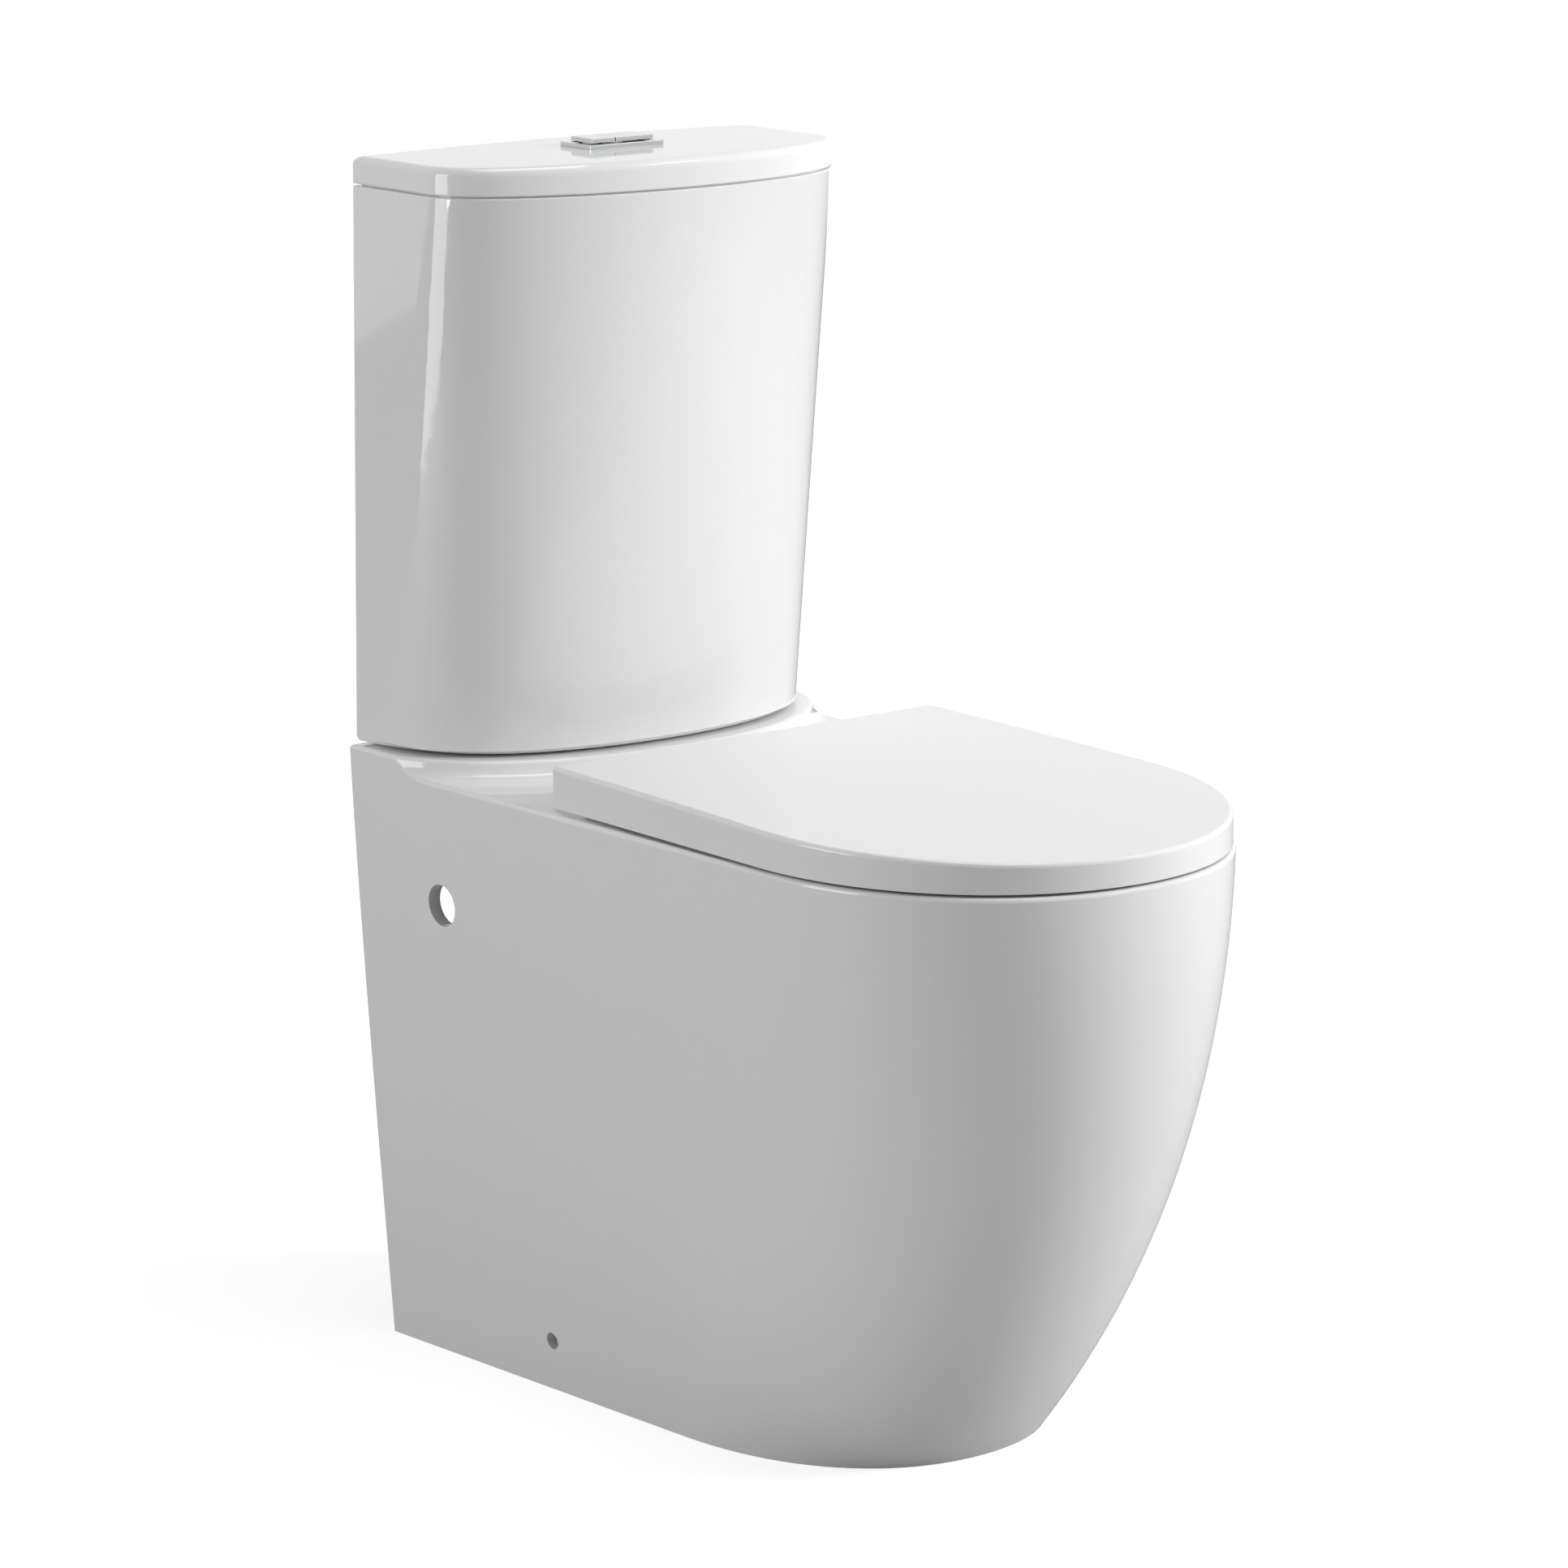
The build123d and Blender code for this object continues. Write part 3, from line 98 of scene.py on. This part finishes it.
# Node helpers
class Tree:
    """A node tree that is filled by short calls; sockets are given by name or number."""

    def __init__(self, tree):
        self.tree = tree
        self.tree.nodes.clear()

    def feed(self, target, socket, value):
        """Link a socket into another one, or set its constant."""
        entry = target.inputs[socket]
        if isinstance(value, bpy.types.NodeSocket):
            self.tree.links.new(value, entry)
        else:
            entry.default_value = value

    def node(self, kind, settings=None, **inputs):
        """New node with its settings and its named inputs."""
        made = self.tree.nodes.new(kind)
        for name, value in (settings or {}).items():
            setattr(made, name, value)
        for name, value in inputs.items():
            self.feed(made, name.replace("_", " "), value)
        return made

    def numbered(self, kind, settings, *inputs):
        """New node whose inputs are given in their order."""
        made = self.node(kind, settings)
        for place, value in enumerate(inputs):
            self.feed(made, place, value)
        return made

    def math(self, operation, first, second=0.0):
        """Result of one operation on two values."""
        return self.numbered("ShaderNodeMath", {"operation": operation}, first, second).outputs[0]

    def mix(self, share, first, second):
        """Blend of two colours."""
        made = self.node("ShaderNodeMix", {"data_type": "RGBA"})
        self.feed(made, 0, share)
        self.feed(made, 6, first)
        self.feed(made, 7, second)
        return made.outputs[2]

    def blend(self, share, first, second):
        """Blend of two shaders."""
        return self.numbered("ShaderNodeMixShader", {}, share, first, second).outputs[0]

    def scaled(self, colour, factor):
        """Colour made lighter or darker by one factor."""
        made = self.node("ShaderNodeVectorMath", {"operation": "SCALE"}, Scale=factor)
        self.feed(made, 0, colour)
        return made.outputs[0]

    def noise(self, place, scale, detail, roughness):
        """Noise value at a place."""
        made = self.node("ShaderNodeTexNoise", Vector=place, Scale=scale, Detail=detail, Roughness=roughness)
        return made.outputs["Fac"]

    def object_place(self):
        """Place on the object, which stays with a piece as it moves."""
        return self.node("ShaderNodeTexCoord").outputs["Object"]

    def bump(self, strength, depth, height):
        """Normal that is tilted by a height."""
        return self.node("ShaderNodeBump", Strength=strength, Distance=depth, Height=height).outputs["Normal"]


def new_surface(name, inputs):
    """Shader node group from named values to a colour, a roughness and a normal."""
    group = bpy.data.node_groups.new(name, "ShaderNodeTree")
    for label, kind, default in inputs:
        socket = group.interface.new_socket(label, in_out="INPUT", socket_type=kind)
        socket.default_value = default
    for label, kind in (("Colour", COLOUR), ("Roughness", FLOAT), ("Normal", VECTOR)):
        group.interface.new_socket(label, in_out="OUTPUT", socket_type=kind)
    tree = Tree(group)
    return group, tree, tree.node("NodeGroupInput").outputs


def fired_glaze():
    """Fired glaze: a slow ripple in the surface, faint drift in colour and rare pinholes."""
    group, tree, given = new_surface(
        "fired_glaze",
        [("Colour", COLOUR, (0.8, 0.8, 0.8, 1)), ("Ripple", FLOAT, 0.05), ("Ripple Size", FLOAT, 0.05),
         ("Drift", FLOAT, 0.02), ("Roughness", FLOAT, 0.08)],
    )
    place = tree.object_place()
    wave = tree.noise(place, tree.math("DIVIDE", 1.0, given["Ripple Size"]), detail=1.0, roughness=0.4)
    skin = tree.math("MULTIPLY", tree.noise(place, GLAZE_SKIN, detail=2.0, roughness=0.5), GLAZE_SKIN_SHARE)
    cloud = tree.math("SUBTRACT", tree.noise(place, GLAZE_CLOUD, detail=2.0, roughness=0.5), 0.5)
    specks = tree.node("ShaderNodeTexVoronoi", Vector=place, Scale=PINHOLES)
    pin = tree.math("LESS_THAN", specks.outputs["Distance"], PINHOLE_SIZE)
    toned = tree.scaled(given["Colour"], tree.math("ADD", 1.0, tree.math("MULTIPLY", cloud, given["Drift"])))
    tree.node(
        "NodeGroupOutput",
        Colour=tree.mix(tree.math("MULTIPLY", pin, PINHOLE_STRENGTH), toned, PINHOLE_COLOUR),
        Roughness=tree.math("ADD", given["Roughness"], skin),
        Normal=tree.bump(given["Ripple"], GLAZE_DEPTH, tree.math("ADD", wave, skin)),
    )
    return group


def moulded_skin():
    """Moulded plastic: fine even grain, slight sink waves and light rubbing."""
    group, tree, given = new_surface(
        "moulded_skin",
        [("Colour", COLOUR, (0.8, 0.8, 0.8, 1)), ("Grain", FLOAT, 0.1), ("Grain Size", FLOAT, 0.001),
         ("Rubbing", FLOAT, 0.05), ("Roughness", FLOAT, 0.2)],
    )
    place = tree.object_place()
    grain = tree.noise(place, tree.math("DIVIDE", 1.0, given["Grain Size"]), detail=2.0, roughness=0.6)
    wave = tree.noise(place, SINK_WAVES, detail=1.0, roughness=0.4)
    worn = tree.math("MULTIPLY", tree.noise(place, RUB_MARKS, detail=6.0, roughness=0.7), given["Rubbing"])
    shade = tree.math("SUBTRACT", 1.0, tree.math("MULTIPLY", worn, RUB_SHADE))
    height = tree.math("ADD", tree.math("MULTIPLY", grain, GRAIN_SHARE), wave)
    tree.node(
        "NodeGroupOutput",
        Colour=tree.scaled(given["Colour"], shade),
        Roughness=tree.math("ADD", given["Roughness"], worn),
        Normal=tree.bump(given["Grain"], MOULD_DEPTH, height),
    )
    return group


def worked_metal():
    """Worked metal: fine lines along one direction, smudges and uneven polish."""
    group, tree, given = new_surface(
        "worked_metal",
        [("Colour", COLOUR, (0.7, 0.7, 0.7, 1)), ("Lines", FLOAT, 0.1), ("Stretch", VECTOR, (1, 1, 1)),
         ("Smudge", FLOAT, 0.05), ("Roughness", FLOAT, 0.1)],
    )
    place = tree.object_place()
    pulled = tree.numbered("ShaderNodeVectorMath", {"operation": "MULTIPLY"}, place, given["Stretch"])
    lines = tree.noise(pulled.outputs[0], POLISH_LINES, detail=3.0, roughness=0.6)
    dull = tree.math("MULTIPLY", tree.noise(place, SMUDGES, detail=4.0, roughness=0.6), given["Smudge"])
    tree.node(
        "NodeGroupOutput",
        Colour=given["Colour"],
        Roughness=tree.math("ADD", given["Roughness"], dull),
        Normal=tree.bump(given["Lines"], POLISH_DEPTH, lines),
    )
    return group


GLAZE = fired_glaze()
PLASTIC = moulded_skin()
METAL = worked_metal()


def finish_material(name, group, values, **constants):
    """Material whose colour, roughness and normal come from a shared group with its own values."""
    material = bpy.data.materials.new(name)
    material.use_nodes = True
    tree = Tree(material.node_tree)
    surface = tree.node("ShaderNodeGroup", {"node_tree": group})
    for label, value in values.items():
        surface.inputs[label].default_value = value
    shader = tree.node("ShaderNodeBsdfPrincipled", **constants)
    tree.feed(shader, "Base Color", surface.outputs["Colour"])
    tree.feed(shader, "Roughness", surface.outputs["Roughness"])
    tree.feed(shader, "Normal", surface.outputs["Normal"])
    tree.node("ShaderNodeOutputMaterial", Surface=shader.outputs[0])
    return material


MATERIALS = {
    "china": finish_material(
        "white_china", GLAZE,
        {"Colour": (0.82, 0.82, 0.82, 1), "Ripple": 0.04,
         "Ripple Size": 0.06, "Drift": 0.02, "Roughness": 0.06},
        IOR=1.5, Coat_Weight=0.3, Coat_Roughness=0.03,
    ),
    "seat_plastic": finish_material(
        "white_seat_plastic", PLASTIC,
        {"Colour": (0.83, 0.83, 0.83, 1), "Grain": 0.03,
         "Grain Size": 0.0008, "Rubbing": 0.02, "Roughness": 0.1},
        IOR=1.5,
    ),
    "chrome": finish_material(
        "bright_chrome", METAL,
        {"Colour": (0.56, 0.57, 0.58, 1), "Lines": 0.02,
         "Stretch": (1, 1, 1), "Smudge": 0.05, "Roughness": 0.04},
        Metallic=1.0,
    ),
    "valve_plastic": finish_material(
        "white_valve_plastic", PLASTIC,
        {"Colour": (0.68, 0.70, 0.72, 1), "Grain": 0.2,
         "Grain Size": 0.0006, "Rubbing": 0.1, "Roughness": 0.4},
    ),
    "float_plastic": finish_material(
        "blue_float_plastic", PLASTIC,
        {"Colour": (0.08, 0.20, 0.36, 1), "Grain": 0.2,
         "Grain Size": 0.0006, "Rubbing": 0.1, "Roughness": 0.4},
    ),
    "rubber": finish_material(
        "black_rubber", PLASTIC,
        {"Colour": (0.02, 0.02, 0.02, 1), "Grain": 0.4,
         "Grain Size": 0.0005, "Rubbing": 0.2, "Roughness": 0.6},
    ),
    "steel": finish_material(
        "plated_steel", METAL,
        {"Colour": (0.55, 0.55, 0.54, 1), "Lines": 0.2,
         "Stretch": (1, 1, 0.05), "Smudge": 0.2, "Roughness": 0.25},
        Metallic=1.0,
    ),
}


def dress_nodes():
    """Give every CAD node the material of its slot."""
    slot_of = {part["node"]: part["material_slot"] for part in frame["record"]["subparts"]}
    for name, piece in nodes.items():
        piece.data.materials.clear()
        piece.data.materials.append(MATERIALS[slot_of[name]])


# Lights and surroundings
def softbox(name, place, size, power, mirrored=True):
    """Rectangular soft lamp that faces the object; its own image shows in gloss only where mirrored."""
    lamp = bpy.data.lights.new(name, "AREA")
    lamp.shape = "RECTANGLE"
    lamp.size, lamp.size_y = size
    lamp.energy = power
    holder = bpy.data.objects.new(name, lamp)
    holder.location = place
    holder.visible_glossy = mirrored
    holder.rotation_euler = (AIM - Vector(place)).to_track_quat("-Z", "Y").to_euler()
    bpy.context.scene.collection.objects.link(holder)


def seen_or_mirrored(tree):
    """1 for camera, mirror and see-through rays, and 0 for light on the object."""
    path = tree.node("ShaderNodeLightPath").outputs
    pair = tree.math("MAXIMUM", path["Is Camera Ray"], path["Is Transmission Ray"])
    return tree.math("MAXIMUM", pair, path["Is Glossy Ray"])


def make_world():
    """World that gives a soft fill and is itself seen as white."""
    world = bpy.data.worlds.new("studio")
    world.use_nodes = True
    bpy.context.scene.world = world
    tree = Tree(world.node_tree)
    fill = tree.node("ShaderNodeBackground", Color=(1, 1, 1, 1), Strength=FILL_LIGHT).outputs[0]
    white = tree.node("ShaderNodeBackground", Color=(1, 1, 1, 1), Strength=WHITE_LIGHT).outputs[0]
    tree.node("ShaderNodeOutputWorld", Surface=tree.blend(seen_or_mirrored(tree), fill, white))


def floor_paint():
    """Matt grey paint that the camera sees with a glow, weak near the object and white far out."""
    paint = bpy.data.materials.new("studio_floor_paint")
    paint.use_nodes = True
    tree = Tree(paint.node_tree)
    away = tree.numbered("ShaderNodeVectorMath", {"operation": "LENGTH"}, tree.object_place())
    lift = tree.node(
        "ShaderNodeMapRange", {"interpolation_type": "SMOOTHSTEP"}, Value=away.outputs["Value"],
        From_Min=SHADOW_REACH, From_Max=WHITE_REACH, To_Min=GLOW_IN_SHADOW, To_Max=GLOW_FAR_OUT,
    ).outputs["Result"]
    matt = tree.node("ShaderNodeBsdfDiffuse", Color=(FLOOR_GREY, FLOOR_GREY, FLOOR_GREY, 1)).outputs[0]
    glow = tree.node("ShaderNodeEmission", Color=(1, 1, 1, 1), Strength=lift).outputs[0]
    lit = tree.numbered("ShaderNodeAddShader", {}, matt, glow).outputs[0]
    seen = tree.node("ShaderNodeLightPath").outputs["Is Camera Ray"]
    tree.node("ShaderNodeOutputMaterial", Surface=tree.blend(seen, matt, lit))
    return paint


def make_floor():
    """Pale round floor that keeps the object's shadow."""
    bpy.ops.mesh.primitive_circle_add(
        vertices=FLOOR_CORNERS, radius=FLOOR_RADIUS, fill_type="NGON", location=(0, MIDDLE_DEPTH, 0)
    )
    floor = bpy.context.object
    floor.name = "studio_floor"
    floor.data.materials.append(floor_paint())


bpy.context.scene.view_settings.view_transform = "Standard"
make_camera()
make_world()
make_floor()
for lamp_name, lamp_values in LAMPS.items():
    softbox(lamp_name, **lamp_values)
dress_nodes()
